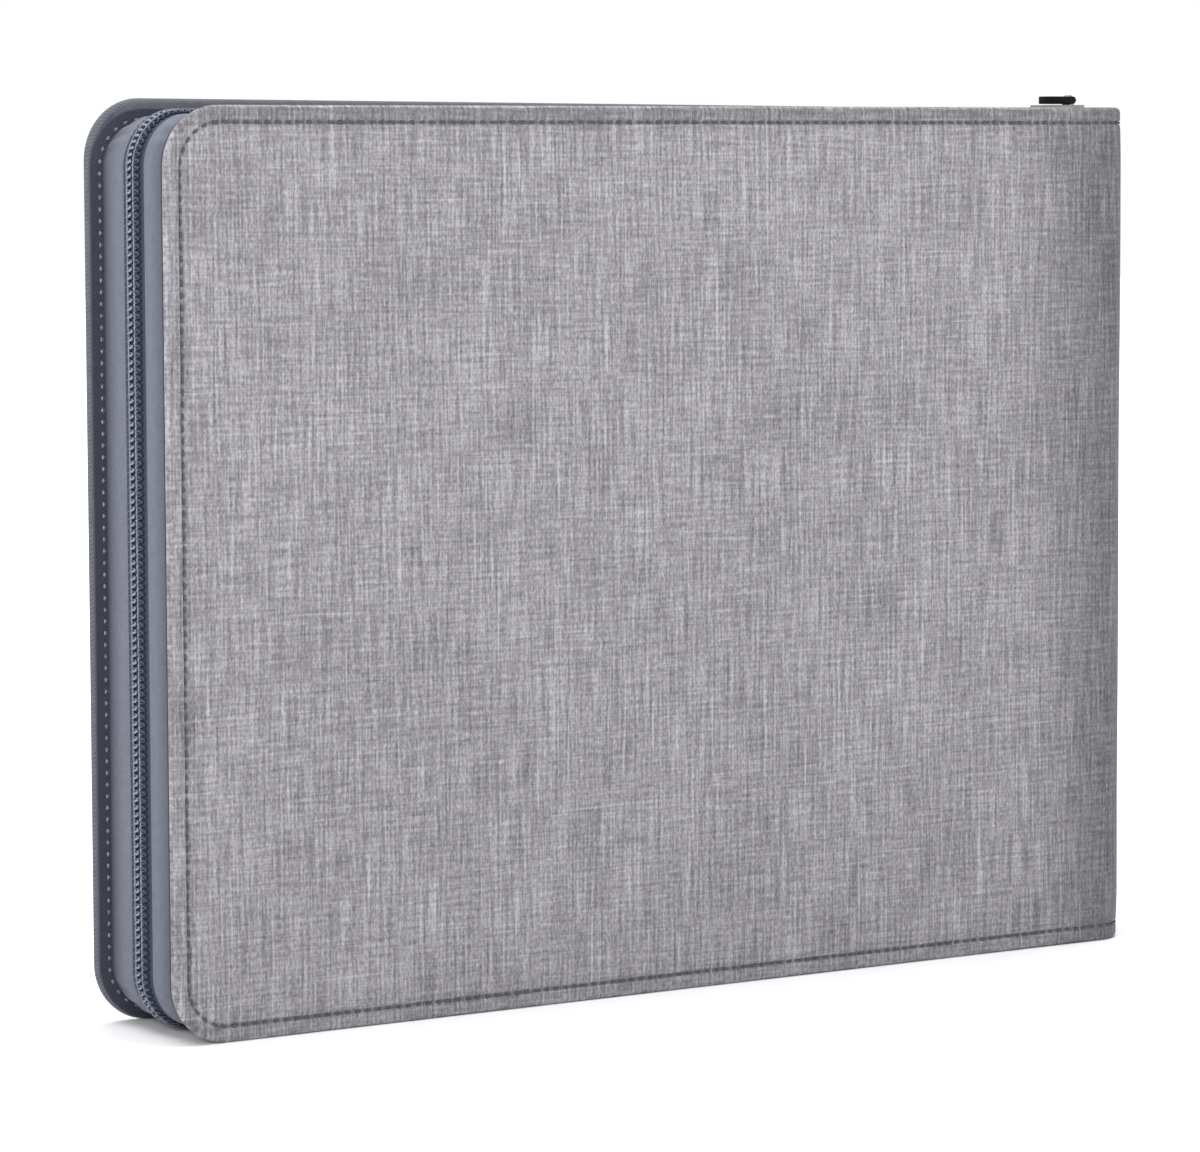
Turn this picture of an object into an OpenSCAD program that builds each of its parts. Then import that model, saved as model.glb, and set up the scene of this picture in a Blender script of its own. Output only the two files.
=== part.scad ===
// Zip-around trading card binder standing on its bottom edge.
// X runs from the opening edge (-X) to the spine (+X), Y from the front cover (-Y) to the
// rear cover (+Y), Z up from the edge it stands on. Millimetres, real size.

/* [Overall] */
// Width from the opening edge to the outside of the spine
binder_w = 317; // [240:1:380]
// Height of the covers
binder_h = 242; // [190:1:320]
// Thickness over both covers
binder_t = 46; // [36:1:60]
// Radius of the two outer corners on the opening side
corner_r = 16; // [10:1:30]

/* [Covers] */
// Thickness of a finished cover
cover_t = 3; // [2.4:0.1:4]
// Thickness of the outer fabric
fabric_t = 0.6; // [0.4:0.1:0.8]
// Thickness of the foam under the fabric
foam_t = 0.9; // [0.5:0.1:1.1]
// Thickness of the lining
lining_t = 0.35; // [0.2:0.05:0.5]
// Width of the sewn hem around a cover
hem_w = 4.4; // [3:0.1:7]
// Rounding along the rim
rim_r = 1; // [0.5:0.1:1.1]
// Radius of the fabric bend between a cover and the spine
bend_r = 8; // [6:0.5:10]
// Thickness of the bending fabric and lining together
bend_t = 1.2; // [0.8:0.1:1.6]

/* [Zip] */
// Thickness of the woven tape
tape_t = 0.6; // [0.4:0.1:0.8]
// Half width of the flat middle of the zip
tape_flat = 6; // [5:0.5:8]
// Distance from the end of the tape to the outside of the spine
tape_end = 6; // [5:0.5:12]
// Width of one half of the coil
coil_w = 3.4; // [2.6:0.1:4]
// Height of the coil over the tape
coil_h = 1.8; // [1.4:0.1:2.2]
// Gap between the two halves of the coil
coil_gap = 1; // [0.9:0.1:1.4]
// How far the top of the coil lies below the rim
coil_sink = 0.3; // [0.1:0.1:0.6]

/* [Slider] */
// Distance from the middle of the slider to the outside of the spine
slider_end = 10.5; // [10:0.5:30]
// Length of the slider along the zip
slider_l = 12; // [10:0.5:14]
// Thickness of the slider's plates and side walls
plate_t = 0.9; // [0.7:0.1:1.1]
// Length of the pull from its pivot
pull_l = 9; // [7:0.5:14]
// Width of the pull
pull_w = 5; // [4.6:0.2:7]
// Thickness of the pull
pull_t = 2.2; // [1.8:0.1:2.4]
// Radius of the pull's pivot bar
pivot_r = 0.6; // [0.5:0.05:0.7]

/* [Pages] */
// Distance between neighbouring pages
page_pitch = 2.9; // [2.6:0.1:3.2]
// Thickness of the backing sheet
sheet_t = 0.5; // [0.3:0.1:0.7]
// Thickness of a pocket's clear front with its welds
pocket_t = 0.4; // [0.3:0.05:0.5]
// Clearance between a page and the covers' edges, top and bottom
page_inset = 8; // [7.5:0.5:14]
// Clearance between the free edge of a page and the opening edge
page_free = 14; // [12:0.5:24]
// Width of the plain margin beside the spine
page_margin = 15; // [8:0.5:24]
// Width of a weld line
weld_w = 3; // [2:0.5:5]
// Radius of the thumb notch in a pocket
notch_r = 9; // [5:0.5:12]

/* [Hidden] */
$fn = 96;

fit_gap = 0.05;
body_gap = 0.3;
join = 0.1;
left_x = -binder_w / 2;
right_x = binder_w / 2;
half_t = binder_t / 2;
inner_y = half_t - cover_t;
cover_end_x = right_x - bend_r;
board_t = cover_t - fabric_t - foam_t - lining_t - 3 * fit_gap;
foam_v = fabric_t + fit_gap;
board_v = foam_v + foam_t + fit_gap;
lining_v = cover_t - lining_t;

tape_end_x = right_x - tape_end;
tape_top = -coil_sink - coil_h - fit_gap;
foot_y = inner_y - fit_gap;
foot_u = -0.6;
curve_steps = 10;
slider_x = right_x - slider_end;
coil_end_x = tape_end_x - 0.5;
front_coil_end_x = slider_x - slider_l / 2 - 2.2;
stop_l = 2.4;
stop_x = coil_end_x - stop_l;
low_coil_end_x = stop_x - 0.4;

slider_w = 2 * (coil_gap / 2 + coil_w + body_gap + plate_t);
top_plate_u = -coil_sink + body_gap;
low_plate_u = tape_top - tape_t - body_gap - plate_t;
wall_u = tape_top + body_gap;
post_w = coil_gap - 2 * body_gap;
post_l = 2;
lug_w = 1.8;
lug_l = 3;
pivot_x = slider_x + slider_l / 2 - 2;
pivot_u = top_plate_u + plate_t + body_gap + pull_t / 2;
pivot_clear = 0.05;
fork_l = 3.2;

page_n = 10;
page_cols = 3;
page_rows = 2;
spine_half = half_t - bend_r - body_gap;
base_t = 1;
base_x = right_x - cover_t - fit_gap - base_t;
guard_l = 5.7;
guard_t = 0.6;
hinge_x = base_x - guard_l - body_gap;
page_r = hinge_x - 0.5;
page_l = left_x + page_free;
page_z0 = page_inset;
page_h = binder_h - 2 * page_inset;
col_w = (page_r - page_margin - page_l) / page_cols;
row_h = (page_h - weld_w) / page_rows;
film_t = 0.15;
col_gap = 1.5;

function tape_u(k) = tape_top - (hem_w + tape_top) * pow(k / curve_steps, 2);
function tape_y(k) = tape_flat + (foot_y - tape_t - tape_flat) * k / curve_steps;
function page_y(i) = (i - (page_n + 1) / 2) * page_pitch;

// --- Shared shapes -------------------------------------------------------------------

// Outline of a cover in X and Z, set in from its edge, with two rounded outer corners
module cover_outline(inset, end_x) {
  r = corner_r - inset;
  translate([left_x + corner_r, inset])
    square([end_x - left_x - corner_r, binder_h - 2 * inset]);
  translate([left_x + inset, corner_r])
    square([corner_r - inset + join, binder_h - 2 * corner_r]);
  translate([left_x + corner_r, corner_r])
    circle(r);
  translate([left_x + corner_r, binder_h - corner_r])
    circle(r);
}

// A layer of a cover between two depths from its outer face, as on the front cover
module cover_layer(inset, end_x, v0, v1) {
  translate([0, -half_t + v1, 0])
    rotate([90, 0, 0])
      linear_extrude(v1 - v0)
        cover_outline(inset, end_x);
}

// Sweeps a section along the bottom, the opening side and the top.
// The section's x is the distance outward from the rim and its y lies along Y.
module along_rim(end_x, end_top_x) {
  translate([left_x + corner_r, 0, 0])
    rotate([0, 90, 0])
      linear_extrude(end_x - left_x - corner_r)
        children();
  translate([left_x, 0, corner_r])
    mirror([1, 0, 0])
      linear_extrude(binder_h - 2 * corner_r)
        children();
  translate([end_top_x, 0, binder_h])
    rotate([0, -90, 0])
      linear_extrude(end_top_x - left_x - corner_r)
        children();
  translate([left_x + corner_r, 0, corner_r])
    rotate([-90, 0, 0])
      rotate([0, 0, 90])
        rotate_extrude(angle = 90)
          translate([corner_r, 0])
            children();
  translate([left_x + corner_r, 0, binder_h - corner_r])
    rotate([-90, 0, 0])
      rotate([0, 0, 180])
        rotate_extrude(angle = 90)
          translate([corner_r, 0])
            children();
}

// Section of the hem with its rounded rim, front cover side
module hem_section() {
  translate([0, -half_t]) {
    translate([-hem_w - join, 0])
      square([hem_w + join - rim_r, cover_t]);
    translate([-rim_r - join, rim_r])
      square([rim_r + join, cover_t - 2 * rim_r]);
    translate([-rim_r, rim_r])
      circle(rim_r);
    translate([-rim_r, cover_t - rim_r])
      circle(rim_r);
  }
}

// Section of the tape, rear half: flat by the coil, curved inward to its sewn foot
module tape_section() {
  polygon(concat(
    [[tape_top, coil_gap / 2]],
    [for (k = [0 : curve_steps]) [tape_u(k), tape_y(k)]],
    [[foot_u, foot_y - tape_t], [foot_u, foot_y], [tape_u(curve_steps) - tape_t, foot_y]],
    [for (k = [curve_steps : -1 : 0]) [tape_u(k) - tape_t, tape_y(k)]],
    [[tape_top - tape_t, coil_gap / 2]]
  ));
}

// Section of one half of the coil, rear half
module coil_section() {
  r = coil_h / 2;
  translate([-coil_sink - r, coil_gap / 2 + r])
    circle(r);
  translate([-coil_sink - r, coil_gap / 2 + coil_w - r])
    circle(r);
  translate([-coil_sink - coil_h, coil_gap / 2 + r])
    square([coil_h, coil_w - 2 * r]);
}

// --- A cover, as the front one --------------------------------------------------------

module cover_fabric() {
  along_rim(cover_end_x, cover_end_x)
    hem_section();
  cover_layer(hem_w, cover_end_x, 0, fabric_t);
  translate([cover_end_x - hem_w, -half_t, hem_w])
    cube([hem_w, cover_t, binder_h - 2 * hem_w]);
}

module cover_filling(v0, thickness) {
  cover_layer(hem_w + join + fit_gap, cover_end_x - hem_w - fit_gap, v0, v0 + thickness);
}

// The stop at the lower end of the zip, where the slider starts to close it
module zip_stop() {
  translate([stop_x, coil_gap / 2, coil_sink])
    cube([stop_l, coil_w, coil_h]);
}

// --- Rear cover -----------------------------------------------------------------------

module rear_cover_fabric() {
  color([0.5, 0.49, 0.51])
    mirror([0, 1, 0])
      cover_fabric();
}

module rear_cover_foam() {
  color([0.85, 0.85, 0.82])
    mirror([0, 1, 0])
      cover_filling(foam_v, foam_t);
}

module rear_cover_board() {
  color([0.45, 0.4, 0.33])
    mirror([0, 1, 0])
      cover_filling(board_v, board_t);
}

module rear_cover_lining() {
  color([0.3, 0.32, 0.36])
    mirror([0, 1, 0])
      cover_filling(lining_v, lining_t);
}

module rear_zip_tape() {
  color([0.4, 0.43, 0.48])
    along_rim(tape_end_x, tape_end_x)
      tape_section();
}

module rear_zip_coil() {
  color([0.2, 0.22, 0.3])
    along_rim(low_coil_end_x, coil_end_x)
      coil_section();
}

module rear_zip_stop() {
  color([0.15, 0.16, 0.2])
    zip_stop();
}

// --- Spine ----------------------------------------------------------------------------

module spine_fabric() {
  color([0.5, 0.49, 0.51])
    difference() {
      translate([right_x - cover_t, -spine_half, 0])
        cube([cover_t, 2 * spine_half, binder_h]);
      translate([right_x - cover_t - 1, -spine_half + 2, hem_w])
        cube([cover_t + 1 - fabric_t, 2 * spine_half - 4, binder_h - 2 * hem_w]);
    }
}

module spine_board() {
  color([0.45, 0.4, 0.33])
    translate([right_x - lining_v + fit_gap, -spine_half + 2 + fit_gap, hem_w + fit_gap])
      cube([
        lining_v - fabric_t - 2 * fit_gap,
        2 * (spine_half - 2 - fit_gap),
        binder_h - 2 * (hem_w + fit_gap)
      ]);
}

module spine_lining() {
  color([0.3, 0.32, 0.36])
    translate([right_x - cover_t, -spine_half + 2 + fit_gap, hem_w + fit_gap])
      cube([lining_t, 2 * (spine_half - 2 - fit_gap), binder_h - 2 * (hem_w + fit_gap)]);
}

module page_binding() {
  color([0.1, 0.1, 0.11]) {
    translate([base_x, page_y(1) - guard_t, page_z0])
      cube([base_t, 2 * (page_y(page_n) + guard_t), page_h]);
    for (i = [1 : page_n])
      translate([base_x - guard_l, page_y(i) - guard_t / 2, page_z0])
        cube([guard_l + join, guard_t, page_h]);
  }
}

// The fabric bend between a cover and the spine, as on the front
module fabric_bend() {
  gap_angle = body_gap / bend_r * 180 / PI;
  translate([cover_end_x, -half_t + bend_r, 0.5])
    rotate([0, 0, -90 + gap_angle])
      rotate_extrude(angle = 90 - 2 * gap_angle)
        translate([bend_r - bend_t, 0])
          square([bend_t, binder_h - 1]);
}

module front_bend() {
  color([0.5, 0.49, 0.51])
    fabric_bend();
}

module rear_bend() {
  color([0.5, 0.49, 0.51])
    mirror([0, 1, 0])
      fabric_bend();
}

// --- Front cover ----------------------------------------------------------------------

module front_cover_fabric() {
  color([0.5, 0.49, 0.51])
    cover_fabric();
}

module front_cover_foam() {
  color([0.85, 0.85, 0.82])
    cover_filling(foam_v, foam_t);
}

module front_cover_board() {
  color([0.45, 0.4, 0.33])
    cover_filling(board_v, board_t);
}

module front_cover_lining() {
  color([0.3, 0.32, 0.36])
    cover_filling(lining_v, lining_t);
}

module front_zip_tape() {
  color([0.4, 0.43, 0.48])
    mirror([0, 1, 0])
      along_rim(tape_end_x, tape_end_x)
        tape_section();
}

// The front coil stops short of the slider, which has to let go of it
module front_zip_coil() {
  color([0.2, 0.22, 0.3])
    mirror([0, 1, 0])
      along_rim(low_coil_end_x, front_coil_end_x)
        coil_section();
}

module front_zip_stop() {
  color([0.15, 0.16, 0.2])
    mirror([0, 1, 0])
      zip_stop();
}

// --- Slider and pull ------------------------------------------------------------------

module slider_body() {
  color([0.55, 0.56, 0.58])
    translate([0, 0, binder_h])
      difference() {
        union() {
          translate([slider_x - slider_l / 2, -slider_w / 2, top_plate_u])
            cube([slider_l, slider_w, plate_t]);
          translate([slider_x - slider_l / 2, -slider_w / 2, low_plate_u])
            cube([slider_l, slider_w, plate_t]);
          for (side = [0, 1])
            mirror([0, side, 0])
              translate([slider_x - slider_l / 2, slider_w / 2 - plate_t, wall_u])
                cube([slider_l, plate_t, top_plate_u - wall_u + join]);
          translate([slider_x + slider_l / 2 - post_l - 1, -post_w / 2, low_plate_u + join])
            cube([post_l, post_w, top_plate_u - low_plate_u]);
          translate([pivot_x - lug_l / 2, -lug_w / 2, top_plate_u + join])
            cube([lug_l, lug_w, pivot_u - top_plate_u - join]);
          translate([pivot_x, 0, pivot_u])
            rotate([90, 0, 0])
              cylinder(h = lug_w, r = lug_l / 2, center = true);
        }
        translate([pivot_x, 0, pivot_u])
          rotate([90, 0, 0])
            cylinder(h = lug_w + 1, r = pivot_r + pivot_clear, center = true);
      }
}

module pull_tab() {
  color([0.05, 0.05, 0.06])
    translate([pivot_x, 0, binder_h + pivot_u]) {
      difference() {
        union() {
          rotate([90, 0, 0])
            cylinder(h = pull_w, r = pull_t / 2, center = true);
          translate([-pull_l, -pull_w / 2, -pull_t / 2])
            cube([pull_l, pull_w, pull_t]);
        }
        translate([-fork_l, -lug_w / 2 - body_gap, -pull_t])
          cube([fork_l + pull_t, lug_w + 2 * body_gap, 2 * pull_t]);
      }
      rotate([90, 0, 0])
        cylinder(h = lug_w + 2 * body_gap + 2 * join, r = pivot_r, center = true);
    }
}

// --- Pages ----------------------------------------------------------------------------

module page_sheet(i) {
  color([0.12, 0.12, 0.13])
    translate([page_l, page_y(i) - sheet_t / 2, page_z0])
      cube([page_r - page_l, sheet_t, page_h]);
}

// One column of two pockets on the sheet's -Y face, open towards the spine
module pocket_column() {
  difference() {
    translate([0, -pocket_t, 0])
      cube([col_w - col_gap, pocket_t, page_h]);
    for (row = [0 : page_rows - 1]) {
      translate([weld_w, film_t - pocket_t, weld_w + row * row_h])
        cube([col_w, pocket_t, row_h - weld_w]);
      translate([col_w - col_gap, 0, weld_w + row * row_h + (row_h - weld_w) / 2])
        rotate([90, 0, 0])
          cylinder(h = 4 * pocket_t, r = notch_r, center = true);
    }
  }
}

module page_pockets(i) {
  color([0.8, 0.85, 0.9, 0.4])
    for (side = [0, 1])
      translate([0, page_y(i), page_z0])
        mirror([0, side, 0])
          for (col = [0 : page_cols - 1])
            translate([page_l + col * col_w, -sheet_t / 2 - fit_gap, 0])
              pocket_column();
}

rear_cover_fabric();
rear_cover_foam();
rear_cover_board();
rear_cover_lining();
rear_zip_tape();
rear_zip_coil();
rear_zip_stop();
spine_fabric();
spine_board();
spine_lining();
page_binding();
rear_bend();
front_bend();
front_cover_fabric();
front_cover_foam();
front_cover_board();
front_cover_lining();
front_zip_tape();
front_zip_coil();
front_zip_stop();
slider_body();
pull_tab();
page_sheet(1);  // page_01_sheet
page_pockets(1);  // page_01_pockets
page_sheet(2);  // page_02_sheet
page_pockets(2);  // page_02_pockets
page_sheet(3);  // page_03_sheet
page_pockets(3);  // page_03_pockets
page_sheet(4);  // page_04_sheet
page_pockets(4);  // page_04_pockets
page_sheet(5);  // page_05_sheet
page_pockets(5);  // page_05_pockets
page_sheet(6);  // page_06_sheet
page_pockets(6);  // page_06_pockets
page_sheet(7);  // page_07_sheet
page_pockets(7);  // page_07_pockets
page_sheet(8);  // page_08_sheet
page_pockets(8);  // page_08_pockets
page_sheet(9);  // page_09_sheet
page_pockets(9);  // page_09_pockets
page_sheet(10);  // page_10_sheet
page_pockets(10);  // page_10_pockets
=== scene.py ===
"""Looks of a zip-around trading card binder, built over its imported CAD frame.

Everything is in metres in the binder's own frame: X from the opening edge to the
spine, Y from the front cover to the rear cover, Z up from the edge it stands on.
"""

from __future__ import annotations

import logging
import math
from collections.abc import Callable, Iterable, Mapping
from dataclasses import dataclass, field
from enum import Enum

import bmesh
import bpy
from mathutils import Matrix, Vector, noise


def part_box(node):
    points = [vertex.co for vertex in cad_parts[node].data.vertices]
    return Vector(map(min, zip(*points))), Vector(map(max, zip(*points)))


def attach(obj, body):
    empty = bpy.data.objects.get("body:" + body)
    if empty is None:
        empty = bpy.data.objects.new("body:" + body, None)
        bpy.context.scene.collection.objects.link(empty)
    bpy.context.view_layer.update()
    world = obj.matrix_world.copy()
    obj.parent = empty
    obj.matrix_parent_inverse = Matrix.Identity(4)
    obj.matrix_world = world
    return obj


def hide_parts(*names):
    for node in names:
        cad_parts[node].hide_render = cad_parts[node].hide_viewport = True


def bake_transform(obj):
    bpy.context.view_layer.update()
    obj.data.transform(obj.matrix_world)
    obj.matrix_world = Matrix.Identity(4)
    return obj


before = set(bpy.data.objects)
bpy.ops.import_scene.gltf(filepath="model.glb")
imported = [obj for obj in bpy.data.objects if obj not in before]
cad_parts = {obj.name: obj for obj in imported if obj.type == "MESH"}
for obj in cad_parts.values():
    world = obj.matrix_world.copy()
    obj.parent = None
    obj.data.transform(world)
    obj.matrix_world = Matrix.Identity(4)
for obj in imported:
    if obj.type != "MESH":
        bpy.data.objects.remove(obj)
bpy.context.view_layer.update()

LOG = logging.getLogger("binder")
MM = 0.001


class Side(Enum):
    """Which half of the binder a piece belongs to."""

    FRONT = -1
    REAR = 1

    @property
    def stem(self) -> str:
        """The word that its pieces' names start with."""
        return self.name.lower()

    @property
    def cover(self) -> str:
        """The cover's body."""
        return f"{self.stem}_cover"


class Part(Enum):
    """The five stretches of the one outer fabric, from opening edge to opening edge."""

    FRONT_COVER = "front_cover"
    FRONT_BEND = "front_bend"
    SPINE = "spine"
    REAR_BEND = "rear_bend"
    REAR_COVER = "rear_cover"


# --- Node helpers ---------------------------------------------------------------------


def linear(colour: str, alpha: float = 1.0) -> tuple[float, float, float, float]:
    """Turns an sRGB hex colour into linear values.

    Args:
        colour: The colour as six hex digits.
        alpha: The alpha to add.

    Returns:
        Linear red, green, blue and alpha.
    """
    parts = [int(colour[i : i + 2], 16) / 255 for i in (0, 2, 4)]
    red, green, blue = (
        p / 12.92 if p <= 0.04045 else ((p + 0.055) / 1.055) ** 2.4 for p in parts
    )
    return red, green, blue, alpha


def add_node(
    tree: bpy.types.NodeTree,
    kind: str,
    settings: Mapping[str, object] | None = None,
    values: Mapping[str | int, object] | None = None,
    links: Mapping[str | int, bpy.types.NodeSocket] | None = None,
) -> bpy.types.Node:
    """Adds a node to a tree.

    Args:
        tree: The node tree.
        kind: The node's type name.
        settings: Properties of the node.
        values: Input values by name or number.
        links: Input links by name or number.

    Returns:
        The new node.
    """
    node = tree.nodes.new(kind)
    for key, value in (settings or {}).items():
        setattr(node, key, value)
    for key, value in (values or {}).items():
        node.inputs[key].default_value = value
    for key, source in (links or {}).items():
        tree.links.new(source, node.inputs[key])
    return node


def set_ramp(node: bpy.types.Node, stops: Iterable[tuple[float, str]]) -> None:
    """Gives a colour ramp its stops.

    Args:
        node: The colour ramp node.
        stops: Place and sRGB hex colour of each stop, two or more.
    """
    ramp = node.color_ramp
    stops = list(stops)
    while len(ramp.elements) < len(stops):
        ramp.elements.new(0.5)
    for element, (place, colour) in zip(ramp.elements, stops):
        element.position = place
        element.color = linear(colour)


@dataclass(frozen=True)
class Finish:
    """Base of every finish: a named Principled material with a pattern."""

    name: str = "Finish"
    roughness: float = 0.6
    specular: float = 0.5
    metallic: float = 0.0
    sheen: float = 0.0

    def build(self) -> bpy.types.Material:
        """Builds the material, or returns the one already built under this name."""
        found = bpy.data.materials.get(self.name)
        if found is not None:
            return found
        material = bpy.data.materials.new(self.name)
        material.use_nodes = True
        tree = material.node_tree
        shader = tree.nodes["Principled BSDF"]
        shader.inputs["Roughness"].default_value = self.roughness
        shader.inputs["Specular IOR Level"].default_value = self.specular
        shader.inputs["Metallic"].default_value = self.metallic
        shader.inputs["Sheen Weight"].default_value = self.sheen
        self.dress(tree, shader)
        return material

    def dress(self, tree: bpy.types.NodeTree, shader: bpy.types.Node) -> None:
        """Adds the pattern's nodes.

        Args:
            tree: The material's node tree.
            shader: Its Principled shader.
        """
        raise NotImplementedError


@dataclass(frozen=True)
class HeatheredWeave(Finish):
    """Cationic-dyed polyester in a linen-look plain weave.

    Two yarns that take the dye differently give fine pale and dark streaks, mostly
    along the warp, which runs up the cover.
    """

    name: str = "Heathered polyester weave"
    roughness: float = 0.88
    specular: float = 0.18
    sheen: float = 0.08
    dark: str = "545256"
    middle: str = "858387"
    pale: str = "B5B3B7"
    # Painted shade: what it is multiplied by at the seam, on the hem band and towards
    # the spine.
    seam_and_spine_shade: str = "A2A1A6"
    # Yarn is about 0.35 mm; drawn at 0.85 mm, which is as fine as shows.
    yarn_mm: float = 0.85
    attribute: str = "cloth"

    def streaks(
        self,
        tree: bpy.types.NodeTree,
        place: bpy.types.NodeSocket,
        across_mm: float,
        along_mm: float,
        upright: bool,
        detail: float = 1.0,
    ) -> bpy.types.NodeSocket:
        """Noise drawn out along the warp or the weft.

        Args:
            tree: The node tree.
            place: The pattern's coordinates.
            across_mm: Width of a streak.
            along_mm: Length of a streak.
            upright: True along the warp, False along the weft.
            detail: Detail of the noise.

        Returns:
            The noise value's socket.
        """
        across, along = 1 / (across_mm * MM), 1 / (along_mm * MM)
        scale = (across, 300.0, along) if upright else (along, 300.0, across)
        scaled = add_node(
            tree,
            "ShaderNodeVectorMath",
            {"operation": "MULTIPLY"},
            {1: scale},
            {0: place},
        )
        return add_node(
            tree,
            "ShaderNodeTexNoise",
            {"noise_dimensions": "3D"},
            {"Scale": 1.0, "Detail": detail, "Roughness": 0.6},
            {"Vector": scaled.outputs[0]},
        ).outputs[0]

    def weighted(
        self,
        tree: bpy.types.NodeTree,
        parts: Iterable[tuple[bpy.types.NodeSocket, float]],
        start: float,
    ) -> bpy.types.NodeSocket:
        """Adds up values, each times its weight and centred on zero.

        Args:
            tree: The node tree.
            parts: The values and their weights.
            start: What the sum starts from.

        Returns:
            The sum's socket.
        """
        total: bpy.types.NodeSocket | None = None
        for value, weight in parts:
            offset = start if total is None else 0.0
            links: dict[str | int, bpy.types.NodeSocket] = {0: value}
            values: dict[str | int, object] = {1: weight, 2: offset - 0.5 * weight}
            node = add_node(
                tree,
                "ShaderNodeMath",
                {"operation": "MULTIPLY_ADD"},
                values,
                links,
            )
            if total is not None:
                node = add_node(
                    tree,
                    "ShaderNodeMath",
                    {"operation": "ADD"},
                    None,
                    {0: total, 1: node.outputs[0]},
                )
            total = node.outputs[0]
        return total

    def dress(self, tree: bpy.types.NodeTree, shader: bpy.types.Node) -> None:
        """Adds the streaks, slubs and flecks, and the weave's relief.

        Args:
            tree: The material's node tree.
            shader: Its Principled shader.
        """
        place = add_node(
            tree, "ShaderNodeAttribute", {"attribute_name": self.attribute}
        ).outputs["Vector"]
        yarn = self.yarn_mm
        warp = self.streaks(tree, place, yarn, yarn * 22, True, 2.0)
        weft = self.streaks(tree, place, yarn, yarn * 16, False, 2.0)
        fleck = self.streaks(tree, place, yarn * 0.8, yarn * 1.6, True, 2.0)
        slub = self.streaks(tree, place, yarn * 1.5, yarn * 60, True, 1.0)
        cross_slub = self.streaks(tree, place, yarn * 1.3, yarn * 45, False, 1.0)
        cloud = self.streaks(tree, place, 34, 60, True, 2.0)
        pale_slub = add_node(
            tree,
            "ShaderNodeMapRange",
            None,
            {"From Min": 0.62, "From Max": 0.78, "To Min": 0.0, "To Max": 1.0},
            {"Value": slub},
        ).outputs[0]
        pale_cross = add_node(
            tree,
            "ShaderNodeMapRange",
            None,
            {"From Min": 0.66, "From Max": 0.82, "To Min": 0.0, "To Max": 1.0},
            {"Value": cross_slub},
        ).outputs[0]
        tone = self.weighted(
            tree,
            [
                (warp, 1.0),
                (weft, 0.6),
                (fleck, 0.9),
                (cloud, 0.2),
                (pale_slub, 0.24),
                (pale_cross, 0.18),
            ],
            0.74,
        )
        ramp = add_node(tree, "ShaderNodeValToRGB", None, None, {0: tone})
        set_ramp(
            ramp, [(0.1, self.dark), (0.5, self.middle), (0.92, self.pale)]
        )
        # Painted shade from the 'seam' attribute: at the seam, on the hem band and
        # towards the spine.
        seam = add_node(
            tree, "ShaderNodeAttribute", {"attribute_name": "seam"}
        ).outputs["Fac"]
        cloth_with_painted_shade = add_node(
            tree,
            "ShaderNodeMix",
            {"data_type": "RGBA", "blend_type": "MULTIPLY"},
            {"B": linear(self.seam_and_spine_shade)},
            {"Factor": seam, "A": ramp.outputs[0]},
        )
        tree.links.new(cloth_with_painted_shade.outputs["Result"], shader.inputs["Base Color"])
        bump = add_node(
            tree,
            "ShaderNodeBump",
            None,
            {"Strength": 0.35, "Distance": 0.12 * MM},
            {"Height": tone},
        )
        tree.links.new(bump.outputs[0], shader.inputs["Normal"])


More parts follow.
